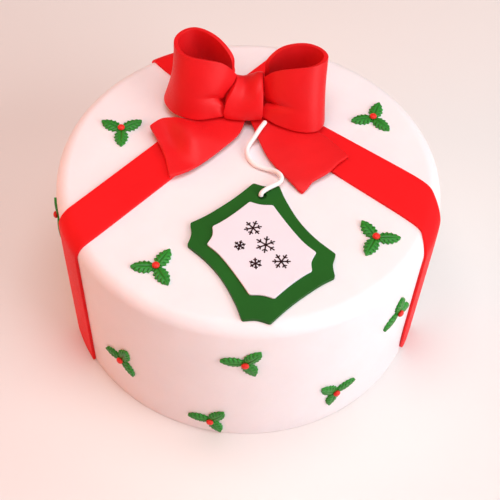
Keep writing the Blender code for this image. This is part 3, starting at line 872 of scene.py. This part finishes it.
class CAKE_OT_holly(bpy.types.Operator):
    """Model the holly leaves and berries and lay them on the cake"""

    bl_idname = "cake.holly"
    bl_label = "Holly"

    def execute(self, context):
        colours = context.scene.cake_colours
        green = holly_paste("leaf_green", colours.leaf)
        red = sugar_paste("berry_red", colours.berry)
        leaf = self.model_leaf(context)
        berry = self.model_berry()
        for number, row in enumerate(TOP_HOLLY, 1):
            self.lay_sprig(f"holly_top_{number}", self.place_on_top(*row), leaf, berry, green, red)
        for number, row in enumerate(WALL_HOLLY, 1):
            self.lay_sprig(f"holly_wall_{number}", self.place_on_wall(*row), leaf, berry, green, red)
        bpy.data.objects.remove(leaf, do_unlink=True)
        bpy.data.objects.remove(berry, do_unlink=True)
        return {"FINISHED"}

    @staticmethod
    def place_on_top(x, y, turn):
        """The function that lays a sprig's own points on the cake's top."""

        def place(right, up, lift):
            spot = Vector((x, y)) + heading_vector(turn) * right + heading_vector(turn + 90.0) * up
            return Vector((spot.x, spot.y, CAKE_HEIGHT + lift))

        return place

    @staticmethod
    def place_on_wall(azimuth, height, turn):
        """The function that lays a sprig's own points on the cake's wall."""

        def place(right, up, lift):
            spot = heading_vector(turn) * right + heading_vector(turn + 90.0) * up
            return wall_point(height + spot.y, azimuth + math.degrees(spot.x / CAKE_RADIUS), lift)

        return place

    def model_leaf(self, context):
        """One leaf along +X: a spiked outline, a raised crown, a sunk midrib and sunk side veins."""
        sizes = context.scene.cake_sizes
        steps = sizes.leaf_spikes * STEPS_PER_SPIKE
        bpy.ops.object.select_all(action="DESELECT")
        bpy.ops.mesh.primitive_grid_add(x_subdivisions=steps, y_subdivisions=STEPS_ACROSS, size=1.0)
        leaf = bpy.context.active_object
        leaf.name = "leaf_pattern"
        # The groove depth is kept on the leaf for the material, which darkens the grooves with it as
        # painted shade
        sunk = leaf.data.attributes.new("groove", "FLOAT", "POINT")
        for vertex in leaf.data.vertices:
            share = vertex.co.x + 0.5
            side = vertex.co.y * 2.0
            groove = self.leaf_groove(share, side, sizes)
            sunk.data[vertex.index].value = min(groove / VEIN_DEPTH, 1.0)
            vertex.co = self.leaf_point(share, side, groove, sizes) * MM
        edit(leaf)
        down = (0.0, 0.0, -sizes.leaf_rise)
        bpy.ops.mesh.extrude_region_move(TRANSFORM_OT_translate={"value": down})
        leave_edit()
        for vertex in leaf.data.vertices:
            if vertex.select:
                vertex.co.z = SEAT * MM
        edit(leaf)
        bpy.ops.mesh.normals_make_consistent(inside=False)
        leave_edit()
        return leaf

    @staticmethod
    def leaf_groove(share, side, sizes):
        """How deep the midrib and the veins are sunk, for a share of the length and a side from -1 to 1."""
        rib = RIB_DEPTH * math.exp(-(side / RIB_REACH) ** 2) * (1.0 - share ** 4)
        run = share * sizes.leaf_spikes / SPIKED_SHARE - abs(side) * VEIN_SLANT
        vein = VEIN_DEPTH * max(math.sin(run * math.tau), 0.0) ** 2
        vein *= math.exp(-((abs(side) - VEIN_PLACE) / VEIN_REACH) ** 2)
        return max(rib, vein)

    @staticmethod
    def leaf_point(share, side, groove, sizes):
        """A point of the leaf's upper face: a spiked outline with a raised crown."""
        phase = share * sizes.leaf_spikes / SPIKED_SHARE % 1.0
        rise = phase / SPIKE_PLACE if phase < SPIKE_PLACE else (1.0 - phase) / (1.0 - SPIKE_PLACE)
        if share > SPIKED_SHARE:
            rise = 0.0
        jag = mix(NOTCH_SHARE, 1.0, rise)
        half = LEAF_WIDTH / 2 * max(math.sin(math.pi * share ** LEAF_SKEW), 0.0) ** LEAF_FULLNESS
        aside = side * half * mix(1.0, jag, abs(side) ** 3)
        crown = LEAF_CROWN * math.sin(math.pi * share) * (1.0 - side ** 2)
        roll = EDGE_ROLL * abs(side) ** ROLL_STEEPNESS
        lift = sizes.leaf_rise / MM + crown + TIP_LIFT * share ** 3 - groove - roll
        return Vector((share * LEAF_LENGTH, aside, lift))

    @staticmethod
    def model_berry():
        """One berry: a slightly flattened ball with a small dimple on top."""
        bpy.ops.object.select_all(action="DESELECT")
        bpy.ops.mesh.primitive_uv_sphere_add(
            segments=BERRY_SIDES, ring_count=BERRY_RINGS, radius=BERRY_RADIUS
        )
        berry = bpy.context.active_object
        berry.name = "berry_pattern"
        for vertex in berry.data.vertices:
            wide = vertex.co.xy.length / BERRY_RADIUS
            vertex.co.z *= BERRY_HEIGHT_SHARE
            if vertex.co.z > 0.0:
                vertex.co.z -= DIMPLE_DEPTH * math.exp(-(wide / DIMPLE_REACH) ** 2)
        bpy.ops.object.shade_smooth()
        return berry

    def lay_sprig(self, name, place, leaf, berry, green, red):
        """Lay three leaves and a berry at a place given by its function."""
        leaves = []
        for turn in LEAF_TURNS:
            copy = copy_of(leaf, f"{name}_leaf")
            heading = heading_vector(turn)
            for vertex in copy.data.vertices:
                along, aside, lift = vertex.co / MM
                spot = heading * along + Vector((-heading.y, heading.x)) * aside
                vertex.co = place(spot.x, spot.y, lift) * MM
            leaves.append(copy)
        sprig = join(leaves, f"{name}_sprig")
        bpy.ops.object.shade_smooth_by_angle(angle=math.radians(LEAF_SHARP_ANGLE))
        place_piece(sprig, green, [f"{name}_leaves"])
        ball = copy_of(berry, f"{name}_ball")
        for vertex in ball.data.vertices:
            vertex.co = place(vertex.co.x, vertex.co.y, BERRY_LIFT + vertex.co.z) * MM
        place_piece(ball, red, [f"{name}_berry"])


class CAKE_OT_stage(bpy.types.Operator):
    """Set the pale floor, the soft lights and the camera"""

    bl_idname = "cake.stage"
    bl_label = "Stage"

    def execute(self, context):
        bpy.ops.object.select_all(action="DESELECT")
        bpy.ops.mesh.primitive_plane_add(size=FLOOR_SIZE)
        floor = context.active_object
        floor.name = "floor"
        pale = bpy.data.materials.new("pale_floor")
        pale.use_nodes = True
        shader = pale.node_tree.nodes["Principled BSDF"]
        shader.inputs["Base Color"].default_value = FLOOR_COLOUR
        shader.inputs["Roughness"].default_value = FLOOR_ROUGHNESS
        floor.data.materials.append(pale)
        for name, row in LIGHTS.items():
            self.add_light(name, *row)
        world = bpy.data.worlds.new("soft_room")
        world.use_nodes = True
        background = world.node_tree.nodes["Background"]
        background.inputs["Color"].default_value = (*ROOM_COLOUR, 1.0)
        background.inputs["Strength"].default_value = ROOM_STRENGTH
        context.scene.world = world
        context.scene.view_settings.view_transform = "Standard"
        self.add_camera(context)
        return {"FINISHED"}

    @staticmethod
    def add_camera(context):
        """The camera at the photograph's angle."""
        camera = bpy.data.cameras.new("camera")
        camera.lens = CAMERA_LENS
        camera.sensor_width = CAMERA_SENSOR
        camera.clip_start = CAMERA_NEAR
        holder = bpy.data.objects.new("camera", camera)
        context.scene.collection.objects.link(holder)
        turn = Matrix.Rotation(CAMERA_HEADING, 4, "Z")
        turn = turn @ Matrix.Rotation(math.pi / 2 - CAMERA_DOWN, 4, "X")
        turn = turn @ Matrix.Rotation(CAMERA_ROLL, 4, "Z")
        holder.matrix_world = Matrix.Translation(CAMERA_PLACE) @ turn
        context.scene.camera = holder

    @staticmethod
    def add_light(name, azimuth, elevation, power, spread, colour):
        """A large soft light that faces the cake."""
        light = bpy.data.lights.new(name, "AREA")
        light.size = LIGHT_SIZE
        light.energy = power
        light.spread = math.radians(spread)
        light.color = colour
        holder = bpy.data.objects.new(name, light)
        plan = heading_vector(azimuth - 90.0) * math.cos(math.radians(elevation))
        holder.location = Vector((plan.x, plan.y, math.sin(math.radians(elevation)))) * LIGHT_DISTANCE
        aim = Vector((0.0, 0.0, CAKE_HEIGHT / 2 * MM)) - holder.location
        holder.rotation_euler = aim.to_track_quat("-Z", "Y").to_euler()
        bpy.context.scene.collection.objects.link(holder)


class CAKE_PT_panel(bpy.types.Panel):
    """Lists the cake's pieces"""

    bl_idname = "CAKE_PT_panel"
    bl_label = "Christmas Cake"
    bl_space_type = "VIEW_3D"
    bl_region_type = "UI"
    bl_category = "Cake"

    def draw(self, context):
        sizes = context.scene.cake_sizes
        colours = context.scene.cake_colours
        for name in CakeSizes.__annotations__:
            self.layout.prop(sizes, name)
        for name in CakeColours.__annotations__:
            self.layout.prop(colours, name)
        for operator in OPERATORS:
            self.layout.operator(operator.bl_idname)


OPERATORS = (
    CAKE_OT_body,
    CAKE_OT_ribbon,
    CAKE_OT_bow,
    CAKE_OT_string,
    CAKE_OT_tag,
    CAKE_OT_holly,
    CAKE_OT_stage,
)
CLASSES = (CakeSizes, CakeColours, *OPERATORS, CAKE_PT_panel)


def register():
    for entry in CLASSES:
        bpy.utils.register_class(entry)
    bpy.types.Scene.cake_sizes = PointerProperty(type=CakeSizes)
    bpy.types.Scene.cake_colours = PointerProperty(type=CakeColours)


def unregister():
    del bpy.types.Scene.cake_colours
    del bpy.types.Scene.cake_sizes
    for entry in reversed(CLASSES):
        bpy.utils.unregister_class(entry)


def main():
    register()
    bpy.ops.cake.body()
    bpy.ops.cake.ribbon()
    bpy.ops.cake.bow()
    bpy.ops.cake.string()
    bpy.ops.cake.tag()
    bpy.ops.cake.holly()
    bpy.ops.cake.stage()


if __name__ == "__main__":
    main()
